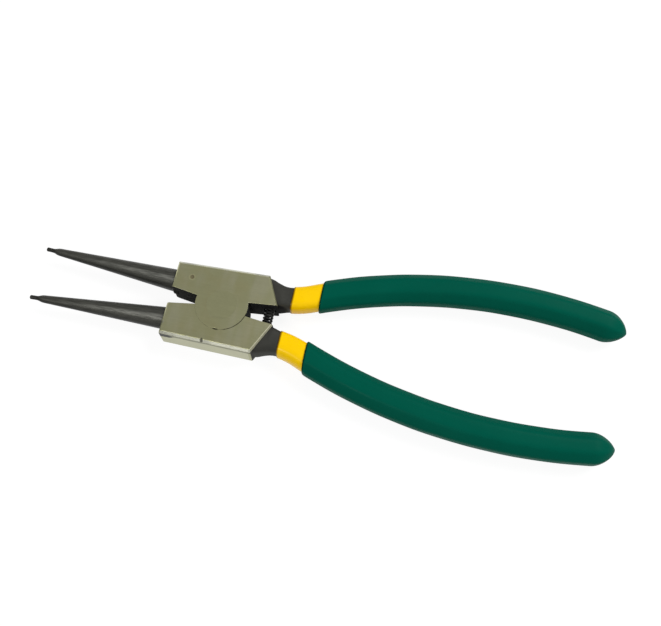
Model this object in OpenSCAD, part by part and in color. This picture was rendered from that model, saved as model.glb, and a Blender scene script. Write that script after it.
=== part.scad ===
// External circlip pliers with straight tips, 180 mm long, shown with the spring at its free length.
// The origin is on the pivot axis in the plane of the head's underside. +X runs to the handles,
// +Y to the upper lever and +Z up. Both levers are the same forging, one turned over about X, and the
// upper one carries the dimple of its hardness test.
// Lever sizes are given for the upper lever, measured from the pivot axis or from the centre line y = 0.

/* [Head] */
// Thickness of the head between its two ground faces
head_t = 9.5; // [9:0.1:12]
// Pivot to the front face of the jaw
jaw_front = 16.2; // [13:0.1:22]
// Centre line to the jaw's outer side, at the front face
jaw_out_front = 12; // [11:0.1:14]
// Centre line to the jaw's outer side, at the rear corner
jaw_out_rear = 12.4; // [11.8:0.1:14]
// Pivot to the rear corner on the outer side
rear_out_x = 12.1; // [11:0.1:14]
// Pivot to the rear corner on the inner side
rear_in_x = 16.6; // [15.5:0.1:19]
// Half of the gap between the jaws at their front faces
front_gap = 2.7; // [1.5:0.1:3]
// Half of the gap between the jaws at the rear inner corner
rear_gap = 3.1; // [2.5:0.1:3.6]
// Half of the gap where the front edges would meet the pivot
front_gap_root = 0.2; // [0:0.05:1]
// Half of the gap where the rear edges would meet the pivot
rear_gap_root = 1.4; // [0.8:0.05:2]
// Width of the ground chamfer along the outer side
side_break = 0.8; // [0.4:0.05:1]
// Width of the broken edges at the front and the rear
edge_break = 0.5; // [0.2:0.05:0.8]

/* [Hardness mark] */
// Pivot to the dimple of the hardness test on the upper jaw, along X
mark_x = 10.9; // [9.5:0.1:11.5]
// Centre line to the dimple
mark_out = 6.8; // [5.5:0.1:8.5]
// Diameter of the dimple at the ground face
mark_d = 1.3; // [0.6:0.1:1.8]
// Depth of the dimple
mark_depth = 0.25; // [0.1:0.05:0.4]

/* [Lap joint] */
// Radius of the half-thickness disc that each lever laps into the other
lap_r = 8; // [7:0.1:9]
// Radial room round each disc in its seat
lap_room = 0.15; // [0.05:0.05:0.3]
// Gap between the two lapped faces
lap_play = 0.06; // [0.02:0.01:0.1]
// Diameter of the rivet's shank
rivet_d = 6; // [4:0.1:7]
// Diameter of the rivet's countersunk heads at the ground faces
rivet_head_d = 9; // [8:0.1:11]
// Depth of the rivet's countersinks
rivet_sink = 1.6; // [1:0.1:2.2]
// Radial running clearance of the rivet in the upper lever
rivet_play = 0.04; // [0.02:0.01:0.08]

/* [Tips] */
// Pivot to the ends of the noses
tip_reach = 59; // [50:0.5:70]
// Centre line to the middle of a nose
tip_out = 8.2; // [6.5:0.1:10]
// Centre line to the middle of the cone, at the jaw's front face
cone_out = 6.3; // [6:0.1:7]
// Diameter of the cone at the jaw
cone_base_d = 7; // [5:0.1:7.4]
// Diameter of the cone where it ends at the nose
cone_end_d = 2.3; // [1.8:0.1:3]
// Diameter of the nose that enters the ring's eye
nose_d = 1.3; // [0.9:0.1:1.7]
// Length of the nose
nose_len = 2.4; // [1.5:0.1:4]
// Length of the shoulder between the cone and the nose
shoulder_len = 1.5; // [0.5:0.1:2]
// Width of the chamfer at the nose's end
nose_break = 0.2; // [0.1:0.05:0.3]

/* [Spring] */
// Pivot to the axis of the spring
spring_x = 14; // [13:0.1:14.4]
// Outside diameter of the spring
spring_d = 3.2; // [2.4:0.1:3.6]
// Diameter of the spring's wire
wire_d = 0.6; // [0.4:0.05:0.7]
// Turns that carry load
live_turns = 9; // [6:0.5:9.5]
// Closed turns at each end
dead_turns = 1; // [0.5:0.25:1.5]
// Depth of the blind pockets that hold the spring's ends
pocket_depth = 2.8; // [2:0.1:3.5]
// Radial room round the spring in its pockets
pocket_room = 0.25; // [0.15:0.05:0.4]
// Gap between the spring's ends and the floors of the pockets
spring_seat = 0.05; // [0.02:0.01:0.1]

/* [Shank] */
// Pivot to the start of the neck's bend
neck_x = 16.2; // [15.5:0.1:17.5]
// Centre line to the middle of the neck
neck_out = 7.1; // [7:0.1:7.4]
// Radius of the neck's bend
neck_r = 25; // [20:1:35]
// Angle that the neck turns outwards
neck_turn = 23; // [20:0.5:26]
// Radius of the handle's bow
bow_r = 155; // [130:5:220]
// Pivot to the end of the grips, along X
handle_reach = 121; // [100:1:140]
// Width of the shank inside the head
root_w = 8.4; // [7.6:0.1:8.6]
// Height of the shank inside the head
root_h = 8.2; // [7.5:0.1:8.6]
// Width at the waist, behind the head
waist_w = 6.8; // [5.6:0.1:7.5]
// Start of the bend to the waist, along the shank
waist_at = 3.6; // [2.5:0.1:5]
// Width of the tang inside the grip
tang_w = 7.3; // [6:0.1:9]
// Height of the tang inside the grip
tang_h = 6.7; // [5.5:0.1:7.4]
// Length over which the waist widens to the tang
tang_taper = 40; // [25:1:60]

/* [Dipped coats] */
// Pivot to the first coat's edge on the lower lever, along X
coat_from = 19.2; // [18.5:0.1:23]
// How much further back the upper lever's coats begin, from dipping by hand
dip_shift = 0.9; // [0:0.1:2]
// Length of the first coat that shows in front of the grip, along X
coat_show = 8.4; // [5:0.1:14]
// Thickness of the first coat
coat_t = 0.45; // [0.3:0.05:0.8]
// Thickness of the grip, which is the second coat
grip_t = 0.55; // [0.4:0.05:1]
// Thickness of a coat at its edge, as a share of its full thickness
lip_share = 0.55; // [0.3:0.05:0.8]
// Length over which a coat's edge swells to its full thickness
lip_len = 1.2; // [0.6:0.1:2.5]
// Length of the grip's rounded end
grip_end = 7; // [5:0.5:10]
// Gap between a coat and what it covers
coat_play = 0.06; // [0.04:0.01:0.1]

/* [Hidden] */
$fn = 96;
over = 1;
half_t = head_t / 2;
steel = [0.48, 0.48, 0.42];
rivet_steel = [0.52, 0.52, 0.46];
spring_steel = [0.13, 0.13, 0.14];
first_colour = [0.98, 0.78, 0.05];
grip_colour = [0.02, 0.36, 0.29];

// Corners of the head in plan, seen from above
front_in = [-jaw_front, front_gap];
front_out = [-jaw_front, jaw_out_front];
rear_out = [rear_out_x, jaw_out_rear];
rear_in = [rear_in_x, rear_gap];

// Axis of the tip, from the jaw's front face to the end of the nose
tip_base = [-jaw_front, cone_out];
tip_end = [-tip_reach, tip_out];
tip_len = norm(tip_end - tip_base);
tip_bearing = atan2(tip_end.y - tip_base.y, tip_end.x - tip_base.x);
tip_root = 1.5;

// The spring lies across the gap behind the pivot
spring_gap = rear_gap_root + (rear_gap - rear_gap_root) * spring_x / rear_in_x;
spring_len = 2 * (spring_gap + pocket_depth - spring_seat);
coil_r = (spring_d - wire_d) / 2;
coil_turns = live_turns + 2 * dead_turns;
coil_pitch = (spring_len - wire_d * (1 + 2 * dead_turns)) / live_turns;
coil_sides = 8;
steps_per_turn = 12;

// The shank's spine: straight in the head, an arc at the neck, then the long bow of the handle
neck_run = neck_r * neck_turn * PI / 180;
bow_start = [neck_x + neck_r * sin(neck_turn), neck_out + neck_r * (1 - cos(neck_turn))];
bow_centre = bow_start + bow_r * [sin(neck_turn), -cos(neck_turn)];
root_room = 1.5;
shank_from = lap_r + root_room - neck_x;
grip_tip = run_at(handle_reach);
grip_round = grip_tip - grip_end;
drip_room = 1.5;
coat_tip = grip_round + drip_room;
// Extra thickness of the first coat over the end of the tang, where it dripped
drip_t = 0.35;
tang_tip = coat_tip - coat_t - drip_t - coat_play;
// Length of the flare in front of the neck's bend, and of a dip line's fade to a square section
flare_run = 2.5;
lean_run = 25;
// Spacing of the rings: after the start of the neck, after a change of form and before an end
neck_step = 1.2;
form_step = 4;
end_step = 2;
// Rings in the head, the neck and the bow, along a coat in the neck's bend, along a first coat and
// a grip, and in a rounded end
head_rings = 5;
neck_rings = 6;
bend_rings = 3;
bow_rings = 14;
coat_rings = 18;
grip_rings = 17;
end_rings = 6;
ring_sides = 24;
// Length of the tang's rounded end, and the share of the section that is left there
tang_round = 0.8;
tang_share = 0.85;
// The same for the floor of a coat's cavity and for the end of the first coat
floor_round = 1;
floor_share = 0.9;
coat_round = 1;
// Place of the ring inside a lip, as a share of its length, and how far it has swollen there
lip_ring = 1 / 3;
lip_swell = 0.7;
// Squareness of a section: 2 is an ellipse, and more is nearer to a rectangle
steel_square = 4.2;
coat_square = 3.5;
grip_square = 2.9;
// Share of the section that is left at the last ring of a rounded end
end_share = 0.16;

function lerp(a, b, t) = a + (b - a) * t;
function ease(t) = let (k = min(max(t, 0), 1)) k * (2 - k);
function signed_power(v, e) = sign(v) * pow(abs(v), e);
function steps(a, b, n) = [for (i = [0 : n]) lerp(a, b, i / n)];

// Direction of the spine at a distance along it, in degrees from +X
function bearing(s) =
    s < 0 ? 0
    : s < neck_run ? s / neck_r * 180 / PI
    : neck_turn - (s - neck_run) / bow_r * 180 / PI;

// Point of the spine at a distance along it
function spine(s) =
    let (b = bearing(s))
    s < 0 ? [neck_x + s, neck_out]
    : s < neck_run ? [neck_x + neck_r * sin(b), neck_out + neck_r * (1 - cos(b))]
    : bow_centre + bow_r * [-sin(b), cos(b)];

// Distance along the spine at which it reaches a given x
function run_at(x) =
    x < bow_start.x ? neck_r * asin((x - neck_x) / neck_r) * PI / 180
    : neck_run + bow_r * (neck_turn - asin((bow_centre.x - x) / bow_r)) * PI / 180;

// The section is broad in the head, narrow at the waist and grows to the tang
function flare(s) = let (k = (waist_at - s) / (waist_at + flare_run)) min(k * k, 1);
function steel_w(s) =
    s < waist_at ? lerp(waist_w, root_w, flare(s))
    : lerp(waist_w, tang_w, ease((s - waist_at) / tang_taper));
function steel_h(s) = s < waist_at ? lerp(tang_h, root_h, flare(s)) : tang_h;

// One point of a section: cover is the thickness outside the steel, lean tilts the section along
// the spine for each millimetre across it, and share shrinks it at a rounded end
function skin_point(station, square, turn) =
    let (cover = station[1],
         share = station[3],
         across = signed_power(cos(turn), 2 / square),
         s = station[0] + station[2] * share * across * (steel_w(station[0]) / 2 + cover),
         u = across * share * (steel_w(s) / 2 + cover),
         v = signed_power(sin(turn), 2 / square) * share * (steel_h(s) / 2 + cover),
         p = spine(s),
         b = bearing(s))
    [p.x - sin(b) * u, p.y + cos(b) * u, v];

function ring(station, square) =
    [for (i = [0 : ring_sides - 1]) skin_point(station, square, 360 * i / ring_sides)];

// Skin over a row of rings with equal counts, closed by the first and the last of them
module skin(rings) {
    n = len(rings[0]);
    m = len(rings);
    side = [for (j = [0 : m - 2], i = [0 : n - 1])
        let (a = j * n + i, b = j * n + (i + 1) % n)
        each [[a, a + n, b], [b, a + n, b + n]]];
    caps = [[for (i = [0 : n - 1]) i], [for (i = [n - 1 : -1 : 0]) (m - 1) * n + i]];
    polyhedron([for (r = rings) each r], concat(side, caps), convexity = 6);
}

// Rings of a rounded end, from its start to its last ring, for a section with a given cover
function round_end(from, to, cover, n) =
    [for (t = steps(0, 1, n))
        let (share = lerp(1, end_share, t * t))
        [lerp(from, to, t), cover, 0, share]];

// Flat 45 degree cut along both face edges above p to q, where the outside lies to the left of p to q
module edge_cut(p, q, width) {
    d = q - p;
    mid = (p + q) / 2;
    run = norm(d) + 2 * over;
    deep = 4 * width;
    for (face = [[half_t, -45], [-half_t, -135]])
        translate([mid.x, mid.y, face[0]])
            rotate([0, 0, atan2(d.y, d.x)])
                rotate([face[1], 0, 0])
                    translate([-run / 2, -deep, -width / sqrt(2)])
                        cube([run, 2 * deep, deep]);
}

// Jaw block, flat on both faces, with the edges broken round the outside
module jaw_block() {
    difference() {
        linear_extrude(head_t, center = true)
            polygon([front_in, [0, front_gap_root], [0, rear_gap_root], rear_in, rear_out, front_out]);
        edge_cut(front_in, front_out, edge_break);
        edge_cut(front_out, rear_out, side_break);
        edge_cut(rear_out, rear_in, edge_break);
    }
}

// Seat for the other lever's disc, cut from the underside
module lap_seat() {
    translate([0, 0, -half_t - over])
        cylinder(r = lap_r + lap_room, h = half_t + over + lap_play / 2);
}

module lap_disc() {
    translate([0, 0, lap_play / 2])
        cylinder(r = lap_r, h = half_t - lap_play / 2);
}

// Turned tip: a long cone, a short shoulder and the nose
module tip() {
    slope = (cone_base_d - cone_end_d) / (tip_len - nose_len - shoulder_len);
    translate([tip_base.x, tip_base.y, 0])
        rotate([0, 0, tip_bearing])
            rotate([0, 90, 0])
                rotate_extrude()
                    polygon([
                        [0, -tip_root],
                        [(cone_base_d + slope * tip_root) / 2, -tip_root],
                        [cone_end_d / 2, tip_len - nose_len - shoulder_len],
                        [nose_d / 2, tip_len - nose_len],
                        [nose_d / 2, tip_len - nose_break],
                        [nose_d / 2 - nose_break, tip_len],
                        [0, tip_len]
                    ]);
}

// Neck and tang, rooted inside the head
module shank() {
    in_head = steps(shank_from, 0, head_rings);
    in_neck = steps(neck_step, neck_run, neck_rings);
    in_bow = steps(neck_run + form_step, grip_round - end_step, bow_rings);
    body = [for (s = concat(in_head, in_neck, in_bow)) [s, 0, 0, 1]];
    end = [[tang_tip - tang_round, 0, 0, 1], [tang_tip, 0, 0, tang_share]];
    skin([for (st = concat(body, end)) ring(st, steel_square)]);
}

// Solid that fills the rivet's hole, larger all round by the running clearance
module rivet_space(play) {
    head_r = rivet_head_d / 2 + play;
    shank_r = rivet_d / 2 + play;
    rotate_extrude()
        polygon([
            [0, -half_t - over], [head_r, -half_t - over], [head_r, -half_t],
            [shank_r, -half_t + rivet_sink], [shank_r, half_t - rivet_sink],
            [head_r, half_t], [head_r, half_t + over], [0, half_t + over]
        ]);
}

// Blind pocket for one end of the spring, drilled from the gap
module spring_pocket() {
    translate([spring_x, 0, 0])
        rotate([-90, 0, 0])
            cylinder(d = spring_d + 2 * pocket_room, h = spring_gap + pocket_depth);
}

// Shallow round dimple pressed into the ground face by the hardness test
module hardness_mark() {
    ball_r = (mark_d * mark_d / 4 + mark_depth * mark_depth) / (2 * mark_depth);
    translate([-mark_x, mark_out, half_t + ball_r - mark_depth])
        sphere(r = ball_r);
}

// One forged lever about the head's middle plane, with its disc in the upper half
module lever(play) {
    difference() {
        union() {
            difference() {
                jaw_block();
                lap_seat();
            }
            lap_disc();
            tip();
            shank();
        }
        rivet_space(play);
        spring_pocket();
    }
}

// Tilt of a coat's section: it follows the dip line at the edge s0 and fades to square behind it
function dip_lean(s, s0) = tan(bearing(s0)) * max(0, 1 - (s - s0) / lean_run);

// Distances along the spine from a to b, closer together in the neck's bend
function stations(a, b, n) =
    a > neck_run ? steps(a, b, n)
    : concat(steps(a, neck_run, bend_rings),
             [for (i = [1 : n - bend_rings]) lerp(neck_run, b, i / (n - bend_rings))]);

// Row of stations of a coat's outer face, from its edge to the last ring of its rounded end
function outer_face(from, cover_in, t, round_from, tip_at, rings) =
    let (s0 = run_at(from),
         lean = dip_lean(s0, s0),
         cover = cover_in + t,
         body = stations(s0 + lip_len + end_step, round_from - end_step, rings))
    concat(
        [[s0, cover_in + t * lip_share, lean, 1],
         [s0 + lip_len * lip_ring, cover_in + t * lerp(lip_share, 1, lip_swell), lean, 1],
         [s0 + lip_len, cover, lean, 1]],
        [for (s = body) [s, cover, dip_lean(s, s0), 1]],
        round_end(round_from, tip_at, cover, end_rings));

// Row of stations of a coat's inner face, from the floor of its cavity to its edge
function inner_face(from, cover, tip_at, rings) =
    let (s0 = run_at(from),
         body = stations(s0 + end_step, tip_at - floor_round, rings))
    concat(
        [[tip_at, cover, 0, floor_share]],
        [for (i = [rings : -1 : 0]) [body[i], cover, dip_lean(body[i], s0), 1]],
        [[s0, cover, dip_lean(s0, s0), 1]]);

// First dip, over the whole tang
module first_coat(from) {
    inside = inner_face(from, coat_play, tang_tip + coat_play, coat_rings);
    outside = outer_face(from, coat_play, coat_t, coat_tip - coat_round, coat_tip, coat_rings);
    skin(concat([for (st = inside) ring(st, steel_square)], [for (st = outside) ring(st, coat_square)]));
}

// Second dip, thicker at its end where it dripped
module grip(from) {
    under = coat_t + 2 * coat_play;
    inside = inner_face(from, under, coat_tip + coat_play, grip_rings);
    outside = outer_face(from, under, grip_t, grip_round, grip_tip, grip_rings);
    skin(concat([for (st = inside) ring(st, coat_square)], [for (st = outside) ring(st, grip_square)]));
}

// Place for a piece drawn for the upper lever, about the head's middle plane
module upper_half() {
    translate([0, 0, half_t]) children();
}

// The same piece turned over about X for the lower lever
module lower_half() {
    translate([0, 0, half_t]) rotate([180, 0, 0]) children();
}

module lower_lever() {
    color(steel) lower_half() lever(0);
}

module upper_lever() {
    color(steel)
        upper_half()
            difference() {
                lever(rivet_play);
                hardness_mark();
            }
}

// Rivet with both heads ground flush, tight in the lower lever
module pivot_rivet() {
    color(rivet_steel)
        upper_half()
            intersection() {
                rivet_space(0);
                cube([rivet_head_d + over, rivet_head_d + over, head_t], center = true);
            }
}

// Height of the wire above the coil's lower end after a number of turns
function coil_rise(turn) =
    wire_d / 2
    + wire_d * (min(turn, dead_turns) + max(0, turn - dead_turns - live_turns))
    + coil_pitch * min(max(turn - dead_turns, 0), live_turns);

// Compression spring with closed ends, across the gap behind the pivot
module return_spring() {
    rings = [for (k = [0 : steps_per_turn * coil_turns])
        let (turn = k / steps_per_turn, a = 360 * turn, y = coil_rise(turn) - spring_len / 2)
        [for (i = [0 : coil_sides - 1])
            let (c = 360 * i / coil_sides, r = coil_r + wire_d / 2 * cos(c))
            [r * cos(a), y + wire_d / 2 * sin(c), r * sin(a)]]];
    color(spring_steel)
        translate([spring_x, 0, half_t])
            skin(rings);
}

module lower_first_coat() {
    color(first_colour) lower_half() first_coat(coat_from);
}

module upper_first_coat() {
    color(first_colour) upper_half() first_coat(coat_from + dip_shift);
}

module lower_grip() {
    color(grip_colour) lower_half() grip(coat_from + coat_show);
}

module upper_grip() {
    color(grip_colour) upper_half() grip(coat_from + dip_shift + coat_show);
}

lower_lever();
upper_lever();
pivot_rivet();
return_spring();
lower_first_coat();
upper_first_coat();
lower_grip();
upper_grip();
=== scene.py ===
"""Looks of the circlip pliers: forged levers, riveted lap joint, coil spring and two dipped coats.

Every piece is drawn in millimetres for the upper lever, about the middle plane of the head. It is
then turned over where it belongs to the lower lever, lifted, and scaled into the frame's metres.
"""

import logging
import math
from dataclasses import dataclass, replace
from enum import Enum
from typing import Callable, Optional, Sequence, Union

import bmesh
import bpy
from bmesh.types import BMEdge, BMesh, BMVert
from bpy.types import Material, Node, NodeSocket, NodeTree, Object
from mathutils import Matrix, Vector


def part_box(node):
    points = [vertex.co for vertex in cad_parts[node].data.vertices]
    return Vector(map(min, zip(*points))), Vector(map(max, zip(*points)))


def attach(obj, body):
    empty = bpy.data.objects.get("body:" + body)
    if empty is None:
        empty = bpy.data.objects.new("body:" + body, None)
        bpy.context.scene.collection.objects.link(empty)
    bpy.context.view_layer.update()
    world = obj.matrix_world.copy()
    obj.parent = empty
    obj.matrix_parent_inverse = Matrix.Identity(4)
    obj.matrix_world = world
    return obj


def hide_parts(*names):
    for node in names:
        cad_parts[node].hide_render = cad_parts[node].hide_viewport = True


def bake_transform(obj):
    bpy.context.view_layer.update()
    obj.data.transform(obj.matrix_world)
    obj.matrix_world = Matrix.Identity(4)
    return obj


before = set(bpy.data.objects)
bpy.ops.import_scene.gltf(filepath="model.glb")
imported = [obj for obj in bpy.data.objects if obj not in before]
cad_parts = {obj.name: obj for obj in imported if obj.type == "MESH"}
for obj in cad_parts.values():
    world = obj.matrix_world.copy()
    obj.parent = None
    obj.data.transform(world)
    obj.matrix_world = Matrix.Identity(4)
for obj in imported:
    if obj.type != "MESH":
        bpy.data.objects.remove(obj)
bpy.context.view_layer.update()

LOG = logging.getLogger("circlip_pliers")
MM = 0.001
MERGE = 1e-4
HEAD_T = (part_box("pivot_rivet")[1].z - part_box("pivot_rivet")[0].z) / MM
HALF_T = HEAD_T / 2
NO_FACET = 2.0

Colour = tuple[float, float, float, float]
Point = tuple[float, float, float]
Span = tuple[float, float]
Feed = Union[NodeSocket, float, Sequence[float]]


class Side(Enum):
    """The two halves of the tool."""

    UPPER = "upper"
    LOWER = "lower"

    @property
    def body(self) -> str:
        """Name of the body that this half's pieces ride on."""
        return f"{self.value}_half"

    @property
    def place(self) -> Matrix:
        """Matrix from a piece's own millimetres to the frame's metres."""
        turn = Matrix.Rotation(math.pi, 4, "X") if self is Side.LOWER else Matrix.Identity(4)
        return Matrix.Scale(MM, 4) @ Matrix.Translation((0, 0, HALF_T)) @ turn


class Joining(Enum):
    """How one solid is worked into another."""

    ADD = "UNION"
    CUT = "DIFFERENCE"


class Mark(Enum):
    """Attributes that a mesh carries for its finish."""

    GROUND = "ground"
    WORN_EDGE = "worn_edge"
    OUTER_SIDE = "outer_side"
    FROM_LIP = "from_lip"


def lerp(a: float, b: float, t: float) -> float:
    """Value between a and b at the share t."""
    return a + (b - a) * t


def steps(start: float, end: float, count: int) -> list[float]:
    """Evenly spaced values from start to end, both included."""
    return [lerp(start, end, i / count) for i in range(count + 1)]


def fade(left: float, run: float) -> float:
    """Square of the share of a run that is left, kept between 0 and 1."""
    return min(max(left / run, 0), 1) ** 2


def soften(profile: Sequence[Point], segments: int = 4) -> list[Vector]:
    """Rounds the corners of a profile.

    Args:
        profile: Corners as (radius, height, length that the rounding takes on each side).
        segments: Straight stretches in each rounding.

    Returns:
        The points of the softened profile.
    """
    corners = [Vector((r, z)) for r, z, _ in profile]
    points: list[Vector] = []
    for i, (corner, (_, _, reach)) in enumerate(zip(corners, profile)):
        if reach == 0:
            points.append(corner)
            continue
        start = corner + (corners[i - 1] - corner).normalized() * reach
        end = corner + (corners[i + 1] - corner).normalized() * reach
        for t in steps(0, 1, segments):
            points.append(start.lerp(corner, t).lerp(corner.lerp(end, t), t))
    return points


def turned(profile: Sequence[Vector], count: int = 96) -> BMesh:
    """Solid of revolution about Z.

    Args:
        profile: Points as (radius, height), from the axis back to the axis.
        count: Steps of the full turn.

    Returns:
        The closed solid.
    """
    bm = bmesh.new()
    verts = [bm.verts.new((point.x, 0, point.y)) for point in profile]
    edges = [bm.edges.new(pair) for pair in zip(verts, verts[1:])]
    bmesh.ops.spin(bm, geom=verts + edges, cent=(0, 0, 0), axis=(0, 0, 1), angle=math.tau,
                   steps=count, use_merge=True)
    bmesh.ops.remove_doubles(bm, verts=bm.verts, dist=MERGE)
    bmesh.ops.recalc_face_normals(bm, faces=bm.faces)
    return bm


def loft(rings: Sequence[Sequence[Vector]], values: Sequence[float] = (),
         mark: Optional[Mark] = None) -> BMesh:
    """Skin drawn through a row of rings, one extrusion for each.

    Args:
        rings: Rings with equal counts of points.
        values: One value for each ring, kept on its points.
        mark: Attribute that keeps the values.

    Returns:
        The skin, closed over its first and its last ring.
    """
    bm = bmesh.new()
    keep = bm.verts.layers.float.new(mark.value) if mark else None
    loop = bmesh.ops.create_circle(bm, segments=len(rings[0]), radius=1.0)["verts"]
    for j, ring in enumerate(rings):
        edges = [bm.edges.get(pair) for pair in zip(loop, loop[1:] + loop[:1])]
        if j == 0:
            first = edges
        else:
            made = bmesh.ops.extrude_edge_only(bm, edges=edges)["geom"]
            fresh = {vert for vert in made if isinstance(vert, BMVert)}
            loop = [next(e.other_vert(v) for e in v.link_edges if e.other_vert(v) in fresh) for v in loop]
        for vert, point in zip(loop, ring):
            vert.co = point
            if keep:
                vert[keep] = values[j]
    last = [bm.edges.get(pair) for pair in zip(loop, loop[1:] + loop[:1])]
    for edges in (first, last):
        bmesh.ops.edgeloop_fill(bm, edges=edges)
    bmesh.ops.recalc_face_normals(bm, faces=bm.faces)
    return bm


def as_object(bm: BMesh, name: str) -> Object:
    """Object made from a bmesh, which is freed."""
    mesh = bpy.data.meshes.new(name)
    bm.to_mesh(mesh)
    bm.free()
    made = bpy.data.objects.new(name, mesh)
    bpy.context.scene.collection.objects.link(made)
    return made


def combine(target: Object, tool: BMesh, joining: Joining) -> None:
    """Works one solid into another.

    Args:
        target: The object that is changed.
        tool: The solid that is added or cut away, which is freed.
        joining: Whether it is added or cut away.
    """
    worker = as_object(tool, "worker")
    modifier = target.modifiers.new("combine", "BOOLEAN")
    modifier.operation = joining.value
    modifier.solver = "EXACT"
    modifier.object = worker
    shaped = target.evaluated_get(bpy.context.evaluated_depsgraph_get())
    before, target.data = target.data, bpy.data.meshes.new_from_object(shaped)
    target.modifiers.clear()
    for mesh in (before, worker.data):
        bpy.data.meshes.remove(mesh)


def finish_piece(piece: Object, place: Matrix, node: str, material: Material,
                 sharp: float = 40) -> Object:
    """Moves a drawn piece into the frame and dresses it.

    Args:
        piece: The piece, in millimetres.
        place: Matrix into the frame.
        node: CAD node that the piece stands for.
        material: Finish of the piece.
        sharp: Angle in degrees over which an edge is drawn sharp.

    Returns:
        The piece.
    """
    piece.data.transform(place)
    piece.data.shade_smooth()
    piece.data.set_sharp_from_angle(angle=math.radians(sharp))
    piece.data.materials.clear()
    piece.data.materials.append(material)
    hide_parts(node)
    LOG.info("%s: %d faces, stands for %s", piece.name, len(piece.data.polygons), node)
    return piece


def even_flats(piece: Object) -> None:
    """Keeps large flat faces evenly shaded up to their soft edges."""
    weighted = piece.modifiers.new("even_flats", "WEIGHTED_NORMAL")
    weighted.keep_sharp = True


@dataclass(frozen=True)
class Grain:
    """A noise stretched to suit a surface.

    Attributes:
        density: Waves in a millimetre along each axis.
        turn: Turn about Z, in degrees.
        detail: How many finer waves are laid over it.
        band: Values between which a mask of it rises from 0 to 1.
    """

    density: Point
    turn: float = 0.0
    detail: float = 3.0
    band: Span = (0.0, 1.0)


@dataclass(frozen=True)
class Spot:
    """An oval spot on a surface, in millimetres of the frame.

    Attributes:
        centre: Its middle.
        reach: Half its size along each axis.
    """

    centre: Point
    reach: Point


@dataclass(frozen=True)
class Place:
    """Where a point of the surface lies, in millimetres of the frame.

    Attributes:
        vector: The place.
        x: Its part along X.
        y: Its part along Y.
        z: Its part along Z.
    """

    vector: NodeSocket
    x: NodeSocket
    y: NodeSocket
    z: NodeSocket


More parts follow.
